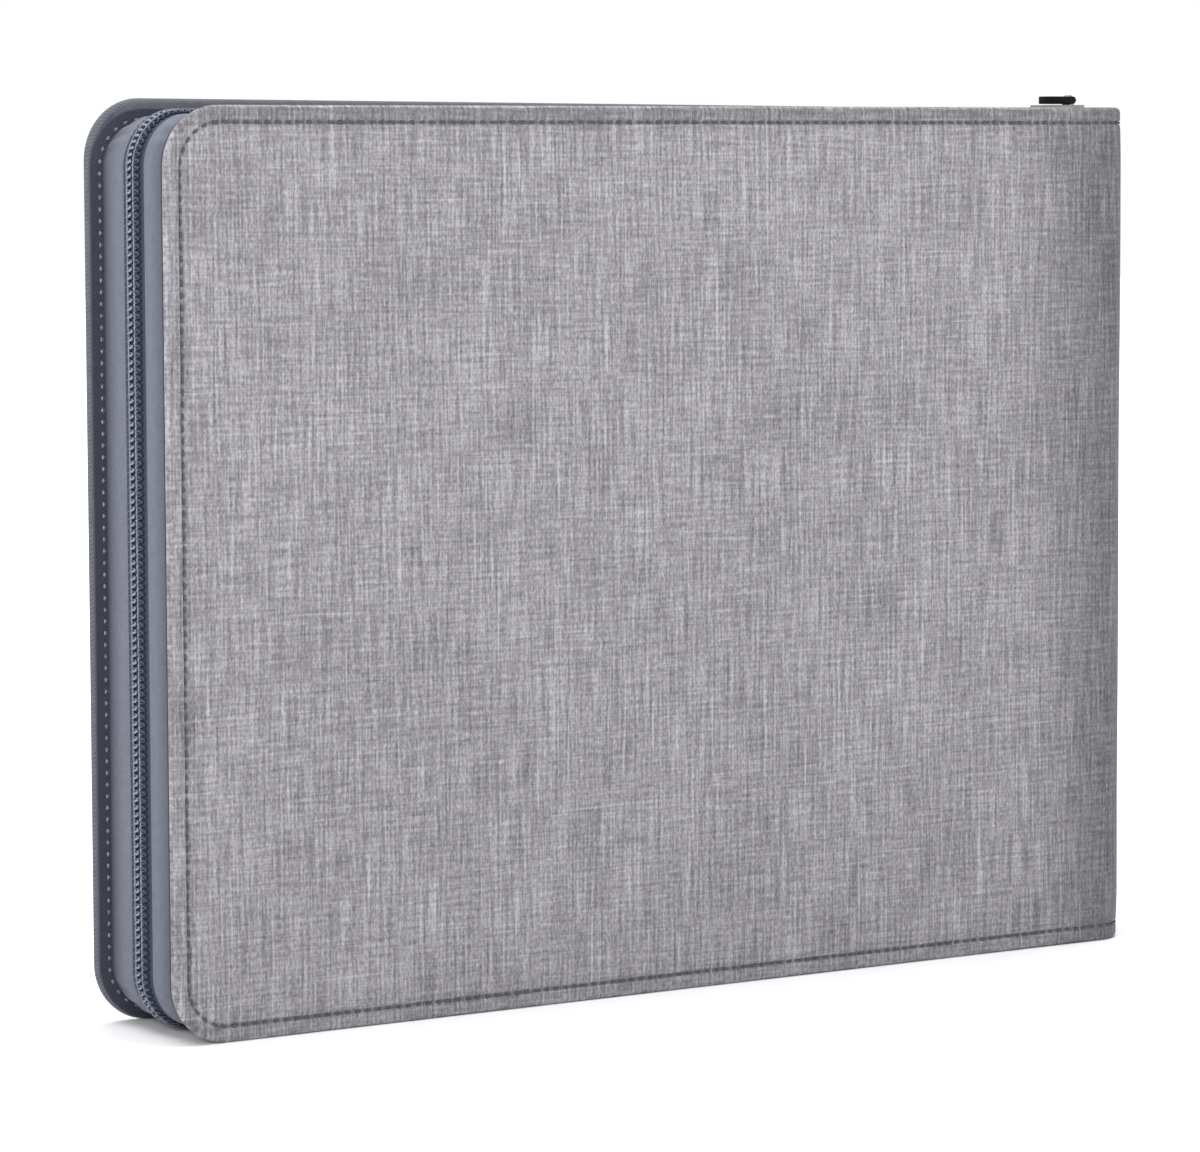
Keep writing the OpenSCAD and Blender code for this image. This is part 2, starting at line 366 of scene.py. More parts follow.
@dataclass(frozen=True)
class TwillTape(Finish):
    """Woven polyester zip tape: a fine slanting rib and a soft satin sheen."""

    name: str = "Twill polyester tape"
    roughness: float = 0.7
    specular: float = 0.25
    sheen: float = 0.08
    colour: str = "6C707C"
    shade: str = "5C606C"
    # The tape is navy within this band under the coil.
    ground: str = "2E3347"
    ground_mm: tuple[float, float] = (0.0, 5.6)
    # Painted shade: towards the covers, where the tape lies low between them,
    # its colour is multiplied by this.
    cover_side_shade: str = "A0A0A6"
    cover_side_shade_mm: tuple[float, float] = (9.0, 19.4)
    # Ribs of the twill are 0.7 mm apart, drawn at 1.2 mm so that they show.
    rib_mm: float = 1.2

    def dress(self, tree: bpy.types.NodeTree, shader: bpy.types.Node) -> None:
        """Adds the slanting ribs and a little unevenness.

        Args:
            tree: The material's node tree.
            shader: Its Principled shader.
        """
        place = add_node(
            tree, "ShaderNodeAttribute", {"attribute_name": "run"}
        ).outputs["Vector"]
        ribs = add_node(
            tree,
            "ShaderNodeTexWave",
            {"wave_type": "BANDS", "bands_direction": "DIAGONAL"},
            {
                "Scale": 2 * math.pi / (10 * self.rib_mm * MM),
                "Distortion": 0.6,
                "Detail": 1.0,
                "Detail Scale": 2.0,
            },
            {"Vector": place},
        )
        mottle = add_node(
            tree,
            "ShaderNodeTexNoise",
            None,
            {"Scale": 420.0, "Detail": 4.0, "Roughness": 0.65},
            {"Vector": place},
        )
        mixed = add_node(
            tree,
            "ShaderNodeMath",
            {"operation": "MULTIPLY_ADD"},
            {1: 0.5, 2: -0.07},
            {0: ribs.outputs[1]},
        )
        tone = add_node(
            tree,
            "ShaderNodeMath",
            {"operation": "MULTIPLY_ADD"},
            {1: 0.9},
            {0: mottle.outputs[0], 2: mixed.outputs[0]},
        )
        ramp = add_node(tree, "ShaderNodeValToRGB", None, None, {0: tone.outputs[0]})
        set_ramp(ramp, [(0.35, self.shade), (0.85, self.colour)])
        split = add_node(tree, "ShaderNodeSeparateXYZ", None, None, {0: place})
        across = add_node(
            tree,
            "ShaderNodeMath",
            {"operation": "ABSOLUTE"},
            None,
            {0: split.outputs[1]},
        )
        low, high = self.ground_mm
        band = add_node(
            tree,
            "ShaderNodeMath",
            {"operation": "COMPARE"},
            {1: (low + high) / 2 * MM, 2: (high - low) / 2 * MM},
            {0: across.outputs[0]},
        )
        # Painted shade, growing towards the covers.
        depth = add_node(
            tree,
            "ShaderNodeMapRange",
            None,
            {"From Min": self.cover_side_shade_mm[0] * MM, "From Max": self.cover_side_shade_mm[1] * MM},
            {"Value": across.outputs[0]},
        )
        shaded = add_node(
            tree,
            "ShaderNodeMix",
            {"data_type": "RGBA", "blend_type": "MULTIPLY"},
            {"B": linear(self.cover_side_shade)},
            {"Factor": depth.outputs[0], "A": ramp.outputs[0]},
        )
        tinted = add_node(
            tree,
            "ShaderNodeMix",
            {"data_type": "RGBA"},
            {"B": linear(self.ground)},
            {"Factor": band.outputs[0], "A": shaded.outputs["Result"]},
        )
        tree.links.new(tinted.outputs["Result"], shader.inputs["Base Color"])
        bump = add_node(
            tree,
            "ShaderNodeBump",
            None,
            {"Strength": 0.3, "Distance": 0.1 * MM},
            {"Height": tone.outputs[0]},
        )
        tree.links.new(bump.outputs[0], shader.inputs["Normal"])


@dataclass(frozen=True)
class Mottled(Finish):
    """A plain material with a fine mottle in its colour, gloss and surface."""

    name: str = "Mottled"
    colour: str = "808080"
    shade: str = "707070"
    grain_mm: float = 1.0
    relief_mm: float = 0.02

    def dress(self, tree: bpy.types.NodeTree, shader: bpy.types.Node) -> None:
        """Adds the mottle.

        Args:
            tree: The material's node tree.
            shader: Its Principled shader.
        """
        place = add_node(tree, "ShaderNodeTexCoord").outputs["Object"]
        scaled = add_node(
            tree,
            "ShaderNodeVectorMath",
            {"operation": "MULTIPLY"},
            {1: (1 / (self.grain_mm * MM),) * 3},
            {0: place},
        )
        grain = add_node(
            tree,
            "ShaderNodeTexNoise",
            None,
            {"Scale": 1.0, "Detail": 4.0, "Roughness": 0.6},
            {"Vector": scaled.outputs[0]},
        )
        ramp = add_node(tree, "ShaderNodeValToRGB", None, None, {0: grain.outputs[0]})
        set_ramp(ramp, [(0.3, self.shade), (0.7, self.colour)])
        tree.links.new(ramp.outputs[0], shader.inputs["Base Color"])
        gloss = add_node(
            tree,
            "ShaderNodeMapRange",
            None,
            {
                "From Min": 0.3,
                "From Max": 0.7,
                "To Min": max(self.roughness - 0.06, 0.02),
                "To Max": min(self.roughness + 0.06, 1.0),
            },
            {"Value": grain.outputs[0]},
        )
        tree.links.new(gloss.outputs[0], shader.inputs["Roughness"])
        bump = add_node(
            tree,
            "ShaderNodeBump",
            None,
            {"Strength": 0.4, "Distance": self.relief_mm * MM},
            {"Height": grain.outputs[0]},
        )
        tree.links.new(bump.outputs[0], shader.inputs["Normal"])


@dataclass(frozen=True)
class StudioPaper(Mottled):
    """White paper that glows a little away from the binder, so it ends unseen."""

    name: str = "Matt white paper"
    colour: str = "FAFAFC"
    shade: str = "F7F7FA"
    grain_mm: float = 30
    roughness: float = 0.95
    specular: float = 0.1

    def dress(self, tree: bpy.types.NodeTree, shader: bpy.types.Node) -> None:
        """Adds the glow, which grows with the distance from the binder.

        Args:
            tree: The material's node tree.
            shader: Its Principled shader.
        """
        super().dress(tree, shader)
        place = add_node(tree, "ShaderNodeTexCoord").outputs["Object"]
        far = add_node(
            tree,
            "ShaderNodeVectorMath",
            {"operation": "LENGTH"},
            None,
            {0: place},
        )
        glow = add_node(
            tree,
            "ShaderNodeMapRange",
            None,
            {"From Min": 0.45, "From Max": 1.2, "To Max": 0.7},
            {"Value": far.outputs["Value"]},
        )
        shader.inputs["Emission Color"].default_value = linear("FFFFFF")
        tree.links.new(glow.outputs[0], shader.inputs["Emission Strength"])


@dataclass(frozen=True)
class CoilNylon(Finish):
    """Nylon monofilament: pale at the heads as a painted highlight, dark where it dips
    to the tape as painted shade.
    """

    name: str = "Dyed nylon coil"
    roughness: float = 0.38
    specular: float = 0.45
    # Painted highlight on the heads and painted shade on the legs.
    heads: str = "8790A0"
    legs: str = "33384C"
    # The heads lie within 1.6 mm of the zip's middle.
    head_mm: float = 1.6

    def dress(self, tree: bpy.types.NodeTree, shader: bpy.types.Node) -> None:
        """Adds the painted highlight on the heads and the painted shade on the legs.

        Args:
            tree: The material's node tree.
            shader: Its Principled shader.
        """
        place = add_node(
            tree, "ShaderNodeAttribute", {"attribute_name": "run"}
        ).outputs["Vector"]
        split = add_node(tree, "ShaderNodeSeparateXYZ", None, None, {0: place})
        distance = add_node(
            tree,
            "ShaderNodeMath",
            {"operation": "ABSOLUTE"},
            None,
            {0: split.outputs[1]},
        )
        share = add_node(
            tree,
            "ShaderNodeMapRange",
            None,
            {
                "From Min": (self.head_mm - 0.25) * MM,
                "From Max": (self.head_mm + 0.25) * MM,
            },
            {"Value": distance.outputs[0]},
        )
        ramp = add_node(tree, "ShaderNodeValToRGB", None, None, {0: share.outputs[0]})
        set_ramp(ramp, [(0.0, self.heads), (1.0, self.legs)])
        tree.links.new(ramp.outputs[0], shader.inputs["Base Color"])


@dataclass(frozen=True)
class ClearFilm(Finish):
    """Clear cast polypropylene: thin, glossy and slightly hazy."""

    name: str = "Clear polypropylene film"
    roughness: float = 0.12
    specular: float = 0.5

    def dress(self, tree: bpy.types.NodeTree, shader: bpy.types.Node) -> None:
        """Makes it see-through, with soft ripples in the gloss.

        Args:
            tree: The material's node tree.
            shader: Its Principled shader.
        """
        shader.inputs["Base Color"].default_value = linear("E9EEF2")
        shader.inputs["Alpha"].default_value = 0.16
        place = add_node(tree, "ShaderNodeTexCoord").outputs["Object"]
        ripple = add_node(
            tree,
            "ShaderNodeTexNoise",
            None,
            {"Scale": 28.0, "Detail": 2.0},
            {"Vector": place},
        )
        bump = add_node(
            tree,
            "ShaderNodeBump",
            None,
            {"Strength": 0.25, "Distance": 0.4 * MM},
            {"Height": ripple.outputs[0]},
        )
        tree.links.new(bump.outputs[0], shader.inputs["Normal"])


# Dull and dry to the eye, pale grey with fine crossing streaks.
WEAVE = HeatheredWeave()
# Blue-grey with a faint slanting rib, navy beside the coil, with painted shade towards
# the covers.
TAPE = TwillTape()
# A flat dark grey strip, with no navy ground.
FLANGE = TwillTape(
    name="Polyester binding tape",
    colour="696B74",
    shade="55575F",
    ground_mm=(-1.0, -1.0),
)
# The rear rim: dull grey, a shade darker than the strip inside it.
BINDING = TwillTape(
    name="Polyester edge binding",
    colour="62656D",
    shade="4F525A",
    ground_mm=(-1.0, -1.0),
)
# Small heads with a painted highlight over legs with painted shade, and a soft gloss.
COIL = CoilNylon()
# Dark short dashes, a little glossier than the cloth.
THREAD = Mottled(
    name="Bonded polyester thread",
    colour="5E5E65",
    shade="424249",
    grain_mm=0.3,
    relief_mm=0.03,
    roughness=0.6,
    specular=0.3,
)
# Pale dots on the dark strip, each with a shaded side.
PALE_THREAD = Mottled(
    name="Pale polyester thread",
    colour="969CA8",
    shade="596070",
    grain_mm=0.8,
    relief_mm=0.05,
    roughness=0.6,
    specular=0.3,
)
# A matt slate grey, even and quiet.
LINING = Mottled(
    name="Plain polyester lining",
    colour="565A64",
    shade="464A54",
    grain_mm=0.6,
    relief_mm=0.05,
    roughness=0.85,
    specular=0.2,
    sheen=0.1,
)
# Off-white and dead matt, with a fine cell pattern.
FOAM = Mottled(
    name="Polyethylene foam",
    colour="E4E4DE",
    shade="D2D2CA",
    grain_mm=1.2,
    relief_mm=0.1,
    roughness=0.9,
)
# Dull brown-grey with a fibrous fleck.
BOARD = Mottled(
    name="Grey pulp board",
    colour="8B8272",
    shade="746C5E",
    grain_mm=0.8,
    relief_mm=0.05,
    roughness=0.92,
)
# A warm silver with blurred highlights, as plated castings have.
NICKEL = Mottled(
    name="Nickel-plated zinc",
    colour="C9C9C6",
    shade="A9A9A8",
    grain_mm=0.8,
    relief_mm=0.01,
    roughness=0.28,
    metallic=1.0,
)
# Near black with a thin satin highlight on its edges.
BLACK_ZINC = Mottled(
    name="Black lacquered zinc",
    colour="0A0A0B",
    shade="060607",
    grain_mm=0.6,
    relief_mm=0.01,
    roughness=0.5,
    specular=0.2,
)
# Black with a fine moulded grain that greys the highlights.
PAGE_SHEET = Mottled(
    name="Black polypropylene sheet",
    colour="1C1D20",
    shade="131417",
    grain_mm=0.5,
    relief_mm=0.04,
    roughness=0.5,
)
# A dark navy bead with a small soft highlight.
STOP_NYLON = Mottled(
    name="Moulded nylon stop",
    colour="3C4252",
    shade="2E3342",
    grain_mm=0.5,
    relief_mm=0.02,
    roughness=0.4,
)
# Seen by its rippled highlights more than by its colour.
FILM = ClearFilm()


# --- Mesh helpers ---------------------------------------------------------------------


def make_piece(
    name: str,
    mesh: bmesh.types.BMesh,
    finishes: Iterable[Finish],
    smooth_angle: float = 40.0,
) -> bpy.types.Object:
    """Turns a bmesh into a finished object at the origin.

    Args:
        name: The piece's name.
        mesh: The bmesh, which is freed.
        finishes: Its finishes, in the order of the faces' material numbers.
        smooth_angle: Edges sharper than this, in degrees, stay sharp.

    Returns:
        The object.
    """
    bmesh.ops.recalc_face_normals(mesh, faces=mesh.faces)
    limit = math.radians(smooth_angle)
    for face in mesh.faces:
        face.smooth = True
    for edge in mesh.edges:
        if len(edge.link_faces) == 2 and edge.calc_face_angle(0) > limit:
            edge.smooth = False
    data = bpy.data.meshes.new(name)
    mesh.to_mesh(data)
    mesh.free()
    piece = bpy.data.objects.new(name, data)
    bpy.context.scene.collection.objects.link(piece)
    for finish in finishes:
        data.materials.append(finish.build())
    LOG.info("%s: %d faces", name, len(data.polygons))
    return piece


def add_run(
    piece: bpy.types.Object,
    measure: Callable[[Vector], tuple[float, float, float]],
) -> None:
    """Stores where each point lies along, across and above a piece's run.

    Args:
        piece: The piece.
        measure: Gives the three values at a point.
    """
    store = piece.data.attributes.new("run", "FLOAT_VECTOR", "POINT")
    for point, value in zip(piece.data.vertices, store.data):
        value.vector = measure(point.co)


def merged_node(node: str, flat_degrees: float) -> bmesh.types.BMesh:
    """Copies a CAD node's mesh, merges its triangles and joins its flat faces.

    Args:
        node: The CAD node.
        flat_degrees: Faces that meet at less than this are joined.

    Returns:
        The merged bmesh.
    """
    mesh = bmesh.new()
    mesh.from_mesh(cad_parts[node].data)
    bmesh.ops.remove_doubles(mesh, verts=mesh.verts, dist=0.002 * MM)
    bmesh.ops.dissolve_limit(
        mesh,
        angle_limit=math.radians(flat_degrees),
        verts=mesh.verts,
        edges=mesh.edges,
    )
    return mesh


def cut_across(mesh: bmesh.types.BMesh, place: Vector, normal: Vector) -> None:
    """Cuts every face that a plane crosses, so that the mesh can bend there.

    Args:
        mesh: The bmesh.
        place: A point on the plane.
        normal: The plane's normal.
    """
    bmesh.ops.bisect_plane(
        mesh,
        geom=[*mesh.verts, *mesh.edges, *mesh.faces],
        dist=0.001 * MM,
        plane_co=place,
        plane_no=normal,
    )


def softened_node(
    node: str, name: str, finish: Finish, width_mm: float
) -> bpy.types.Object:
    """Copies a CAD node, merges it and rounds its sharp edges.

    Args:
        node: The CAD node.
        name: The new piece's name.
        finish: Its finish.
        width_mm: Width of the rounding.

    Returns:
        The new piece.
    """
    mesh = merged_node(node, 2)
    sharp = [
        e
        for e in mesh.edges
        if len(e.link_faces) == 2 and e.calc_face_angle(0) > math.radians(35)
    ]
    bmesh.ops.bevel(
        mesh,
        geom=sharp,
        offset=width_mm * MM,
        segments=2,
        profile=0.5,
        affect="EDGES",
        clamp_overlap=True,
        material=-1,
    )
    piece = make_piece(name, mesh, [finish])
    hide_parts(node)
    return piece


# --- The binder's outline -------------------------------------------------------------


@dataclass(frozen=True)
class Outline:
    """The sizes that every piece shares."""

    width: float = 317 * MM
    height: float = 242 * MM
    depth: float = 46 * MM
    corner: float = 16 * MM
    cover: float = 3 * MM
    hem: float = 4.4 * MM
    bend: float = 11 * MM

    @property
    def left(self) -> float:
        """X of the opening edge."""
        return -self.width / 2

    @property
    def right(self) -> float:
        """X of the outside of the spine."""
        return self.width / 2

    @property
    def cover_run(self) -> float:
        """Length of a cover's flat stretch, along the cloth."""
        return self.width - self.bend

    @property
    def bend_run(self) -> float:
        """Length of a bend, along the cloth."""
        return self.bend * math.pi / 2

    @property
    def spine_run(self) -> float:
        """Length of the spine's flat stretch, along the cloth."""
        return self.depth - 2 * self.bend

    @property
    def cloth_run(self) -> float:
        """Length of the whole cloth, from opening edge to opening edge."""
        return 2 * self.cover_run + 2 * self.bend_run + self.spine_run

    def stretch(self, part: Part) -> tuple[float, float]:
        """Where a stretch of the cloth starts and ends.

        Args:
            part: The stretch.

        Returns:
            Its start and end along the cloth.
        """
        lengths = [
            self.cover_run,
            self.bend_run,
            self.spine_run,
            self.bend_run,
            self.cover_run,
        ]
        place = list(Part).index(part)
        start = sum(lengths[:place])
        return start, start + lengths[place]

    def wrap(self, along: float, inward: float) -> tuple[float, float]:
        """Lays a point of the flat cloth round the binder.

        Args:
            along: How far it is along the cloth from the front opening edge.
            inward: How far it lies inside the outer surface.

        Returns:
            Its X and Y.
        """
        if along > self.cloth_run / 2:
            x, y = self.wrap(self.cloth_run - along, inward)
            return x, -y
        half = self.depth / 2
        if along <= self.cover_run:
            return self.left + along, -half + inward
        turned = along - self.cover_run
        if turned <= self.bend_run:
            angle = turned / self.bend
            radius = self.bend - inward
            x = self.right - self.bend + radius * math.sin(angle)
            return x, -half + self.bend - radius * math.cos(angle)
        return self.right - inward, -half + self.bend + turned - self.bend_run

    def rim_place(self, point: Vector) -> tuple[float, float]:
        """Measures a point against the rim's run round three sides.

        Args:
            point: The point.

        Returns:
            How far it is along the run from the spine's lower end, and how far
            outward of the rim.
        """
        low_x = self.left + self.corner
        top_z = self.height - self.corner
        straight = self.right - low_x
        arc = self.corner * math.pi / 2
        upright = self.height - 2 * self.corner
        if point.x >= low_x and point.z < self.height / 2:
            return self.right - point.x, -point.z
        if point.x >= low_x:
            total = straight + 2 * arc + upright + point.x - low_x
            return total, point.z - self.height
        if point.z < self.corner:
            angle = math.atan2(low_x - point.x, self.corner - point.z)
            radius = math.hypot(low_x - point.x, self.corner - point.z)
            return straight + self.corner * angle, radius - self.corner
        if point.z > top_z:
            angle = math.atan2(point.z - top_z, low_x - point.x)
            radius = math.hypot(low_x - point.x, point.z - top_z)
            total = straight + arc + upright + self.corner * angle
            return total, radius - self.corner
        return straight + arc + point.z - self.corner, self.left - point.x

    def rim_run_place(self, point: Vector) -> tuple[float, float, float]:
        """Measures a point along, across and outward of the rim's run.

        Args:
            point: The point.

        Returns:
            How far it is along the run, its Y, and how far outward of the rim.
        """
        along, out = self.rim_place(point)
        return along, point.y, out

    def rim_point(self, along: float, out: float) -> tuple[float, float]:
        """Finds a point on the rim's run round three sides.

        Args:
            along: How far it is along the run from the spine's lower end.
            out: How far outward of the rim.

        Returns:
            Its X and Z.
        """
        low_x = self.left + self.corner
        straight = self.right - low_x
        arc = self.corner * math.pi / 2
        upright = self.height - 2 * self.corner
        radius = self.corner + out
        if along <= straight:
            return self.right - along, -out
        along -= straight
        if along <= arc:
            angle = along / self.corner
            x = low_x - radius * math.sin(angle)
            return x, self.corner - radius * math.cos(angle)
        along -= arc
        if along <= upright:
            return self.left - out, self.corner + along
        along -= upright
        if along <= arc:
            angle = along / self.corner
            x = low_x - radius * math.cos(angle)
            return x, self.height - self.corner + radius * math.sin(angle)
        return low_x + along - arc, self.height + out

    @property
    def rim_run(self) -> float:
        """Length of the rim's run round three sides."""
        straight = self.width - self.corner
        return 2 * straight + self.corner * math.pi + self.height - 2 * self.corner


SHAPE = Outline()


def sweep_rim(
    section: Iterable[tuple[float, float]],
    low_x: float,
    top_x: float,
) -> bmesh.types.BMesh:
    """Sweeps a closed section along the bottom, the opening side and the top.

    Args:
        section: Points as distance outward of the rim and Y.
        low_x: X of the lower end.
        top_x: X of the upper end.

    Returns:
        The swept bmesh.
    """
    mesh = bmesh.new()
    points = [mesh.verts.new((low_x, y, -out)) for out, y in section]
    pairs = zip(points, points[1:] + points[:1])
    edges = [mesh.edges.new(pair) for pair in pairs]
    start = list(edges)
    corner_x = SHAPE.left + SHAPE.corner

    def pull(
        front: list[bmesh.types.BMEdge], step: Vector, times: int
    ) -> list[bmesh.types.BMEdge]:
        """Extrudes the section straight on in equal steps.

        Args:
            front: The section's edges.
            step: One step.
            times: How many steps.

        Returns:
            The section's edges at the far end.
        """
        for _ in range(times):
            made = bmesh.ops.extrude_edge_only(mesh, edges=front)["geom"]
            bmesh.ops.translate(
                mesh,
                verts=[g for g in made if isinstance(g, bmesh.types.BMVert)],
                vec=step,
            )
            front = [g for g in made if isinstance(g, bmesh.types.BMEdge)]
        return front

    def turn(
        front: list[bmesh.types.BMEdge], centre_z: float
    ) -> list[bmesh.types.BMEdge]:
        """Spins the section round a corner.

        Args:
            front: The section's edges.
            centre_z: Z of the corner's centre.

        Returns:
            The section's edges at the far end.
        """
        ends = {v for e in front for v in e.verts}
        made = bmesh.ops.spin(
            mesh,
            geom=front + list(ends),
            cent=(corner_x, 0, centre_z),
            axis=(0, 1, 0),
            angle=math.pi / 2,
            steps=28,
            use_merge=False,
            use_duplicate=False,
        )["geom_last"]
        return [g for g in made if isinstance(g, bmesh.types.BMEdge)]

    edges = pull(edges, Vector(((corner_x - low_x) / 40, 0, 0)), 40)
    edges = turn(edges, SHAPE.corner)
    rise = (SHAPE.height - 2 * SHAPE.corner) / 30
    edges = pull(edges, Vector((0, 0, rise)), 30)
    edges = turn(edges, SHAPE.height - SHAPE.corner)
    edges = pull(edges, Vector(((top_x - corner_x) / 40, 0, 0)), 40)
    bmesh.ops.contextual_create(mesh, geom=start)
    bmesh.ops.contextual_create(mesh, geom=edges)
    return mesh


# The zip sags this much along the opening side. The sag ends this far from the
# zip's middle, and fades out over the last stretch.
ZIP_SAG = 1.0 * MM
ZIP_SAG_END = 19 * MM
ZIP_SAG_FADE = 13 * MM


def sink_zip(mesh: bmesh.types.BMesh, gathers: float = 0.0) -> None:
    """Lets the zip sag inward along the opening side, and gathers it at the corners.

    Args:
        mesh: The tape's, coil's or thread's bmesh, which is changed.
        gathers: Height of the gathers in the two corners.
    """
    low_x = SHAPE.left + SHAPE.corner
    arc = SHAPE.corner * math.pi / 2
    straight = SHAPE.right - low_x
    upright = SHAPE.height - 2 * SHAPE.corner
    for vert in mesh.verts:
        along, _ = SHAPE.rim_place(vert.co)
        share = min(max((low_x - vert.co.x) / SHAPE.corner, 0), 1)
        share = share * share * (3 - 2 * share)
        middle = min(max((ZIP_SAG_END - abs(vert.co.y)) / ZIP_SAG_FADE, 0), 1)
        for start in (straight, straight + arc + upright):
            turn = (along - start) / arc
            if gathers and 0 < turn < 1:
                wave = math.sin(turn * math.pi * 8) * math.sin(turn * math.pi)
                centre_z = SHAPE.corner
                if vert.co.z > SHAPE.height / 2:
                    centre_z = SHAPE.height - SHAPE.corner
                out = vert.co - Vector((low_x, vert.co.y, centre_z))
                vert.co += out.normalized() * gathers * wave * middle * (1 - middle) * 4
        vert.co.x += ZIP_SAG * share * middle


# --- Outer fabric ---------------------------------------------------------------------


@dataclass
class OuterFabric:
    """The one cloth round both covers and the spine, with its sewn hem."""

    crown: float = 0.25 * MM
    corner_lift: float = 2.3 * MM
    groove: float = 0.6 * MM
    ripple: float = 0.16 * MM
    grid: float = 9 * MM
    bend_steps: int = 16
    # Short of where the tape's painted shade starts, and clear of its navy band.
    even_across: float = 8 * MM
    # Deeper than this the cloth faces inward: first the tape, then the lining.
    inner_face: float = 2.7 * MM
    # From here to the inner face is the rim, which the rear cover has bound.
    bound_rim: float = 0.3 * MM
    flange: float = 5.2 * MM
    # Painted shade towards the spine, where the cover curves away from the light: from
    # none to full over this length, of which this share is reached where the bend
    # starts.
    spine_shade_run: float = 46 * MM
    spine_shade_at_bend: float = 0.72
    spine_shade_most: float = 0.7
    pieces: dict[Part, bpy.types.Object] = field(default_factory=dict)

    def flat_half(self, outside: bool) -> bmesh.types.BMesh:
        """Builds the flat cloth's outer or inner half, from the rim's middle.

        Args:
            outside: True for the outer half.

        Returns:
            The bmesh, with X along the cloth, Y inward and Z up.
        """
        mesh = bmesh.new()
        bmesh.ops.create_grid(mesh, x_segments=1, y_segments=1, size=0.5)
        bmesh.ops.rotate(
            mesh,
            verts=mesh.verts,
            cent=(0, 0, 0),
            matrix=Matrix.Rotation(math.pi / 2, 3, "X"),
        )
        bmesh.ops.scale(
            mesh, verts=mesh.verts, vec=(SHAPE.cloth_run, 1, SHAPE.height)
        )
        middle = (SHAPE.cloth_run / 2, SHAPE.cover / 2, SHAPE.height / 2)
        bmesh.ops.translate(mesh, verts=mesh.verts, vec=middle)
        bmesh.ops.bevel(
            mesh,
            geom=list(mesh.verts),
            offset=SHAPE.corner,
            segments=16,
            profile=0.5,
            affect="VERTICES",
            material=-1,
        )
        rim = [(0.1, 0.5), (0.35, 0.95), (0.75, 1.3), (1.3, 1.5)]
        if outside:
            hem = SHAPE.hem / MM
            low = 1.5 - self.groove / MM
            seam = [(hem - 0.75, 1.5), (hem - 0.3, low + 0.08), (hem, low)]
            seam += [(hem + 0.3, low + 0.08), (hem + 0.8, 1.5)]
            steps = rim + seam + [(hem + 3.2, 1.62), (hem + 9, 1.5 + self.crown / MM)]
        else:
            steps = rim + [(SHAPE.hem / MM + 0.6, 1.5)]
        sign = 1 if outside else -1
        inset_done = raised_done = 0.0
        for inset, raised in steps:
            face = max(mesh.faces, key=lambda f: f.calc_area())
            bmesh.ops.inset_region(
                mesh,
                faces=[face],
                thickness=(inset - inset_done) * MM,
                depth=0,
                use_even_offset=True,
                use_boundary=True,
            )
            face = max(mesh.faces, key=lambda f: f.calc_area())
            shift = -sign * (raised - raised_done) * MM
            bmesh.ops.translate(mesh, verts=face.verts, vec=(0, shift, 0))
            inset_done, raised_done = inset, raised
        return mesh

    def cut_lines(self) -> list[float]:
        """Where the cloth is cut across, so that it bends and swells smoothly."""
        lines: list[float] = []
        for part in Part:
            start, end = SHAPE.stretch(part)
            bends = part in (Part.FRONT_BEND, Part.REAR_BEND)
            wanted = self.bend_steps if bends else round((end - start) / self.grid)
            lines += [start + (end - start) * k / wanted for k in range(wanted)]
        return lines[1:]

    def flat_cloth(self) -> bmesh.types.BMesh:
        """Joins the two halves and cuts the cloth into a grid."""
        mesh = self.flat_half(True)
        back = self.flat_half(False)
        store = bpy.data.meshes.new("back half")
        back.to_mesh(store)
        back.free()
        mesh.from_mesh(store)
        bpy.data.meshes.remove(store)
        bmesh.ops.remove_doubles(mesh, verts=mesh.verts, dist=0.01 * MM)
        rows = round(SHAPE.height / self.grid)
        across, up = Vector((1, 0, 0)), Vector((0, 0, 1))
        planes = [(across * x, across) for x in self.cut_lines()]
        planes += [(up * (SHAPE.height * k / rows), up) for k in range(1, rows)]
        for place, normal in planes:
            cut_across(mesh, place, normal)
        return mesh

    def swell(self, point: Vector) -> float:
        """How far the padding's unevenness lifts a point of the outer face.

        Args:
            point: The point on the flat cloth.

        Returns:
            The lift.
        """
        edge = min(point.z, SHAPE.height - point.z, point.x)
        edge = min(edge, SHAPE.cloth_run - point.x)
        share = min(max((edge - SHAPE.hem * 1.3) / (30 * MM), 0), 1)
        wave = noise.noise(Vector((point.x * 22, 0.3, point.z * 16)))
        fine = noise.noise(Vector((point.x * 70, 5.1, point.z * 60)))
        return (wave + 0.35 * fine) * self.ripple * share

    def lifted_rim(self, point: Vector, along: float) -> float:
        """The rear cover's upper opening corner stands a little proud.

        Args:
            point: The point round the binder.
            along: Its place along the cloth.

        Returns:
            How far it is lifted.
        """
        if along < SHAPE.cloth_run / 2:
            return 0.0
        far = (SHAPE.right - point.x) / SHAPE.width
        high = min(max((point.z - 0.5 * SHAPE.height) / (0.5 * SHAPE.height), 0), 1)
        return self.corner_lift * far * high * high

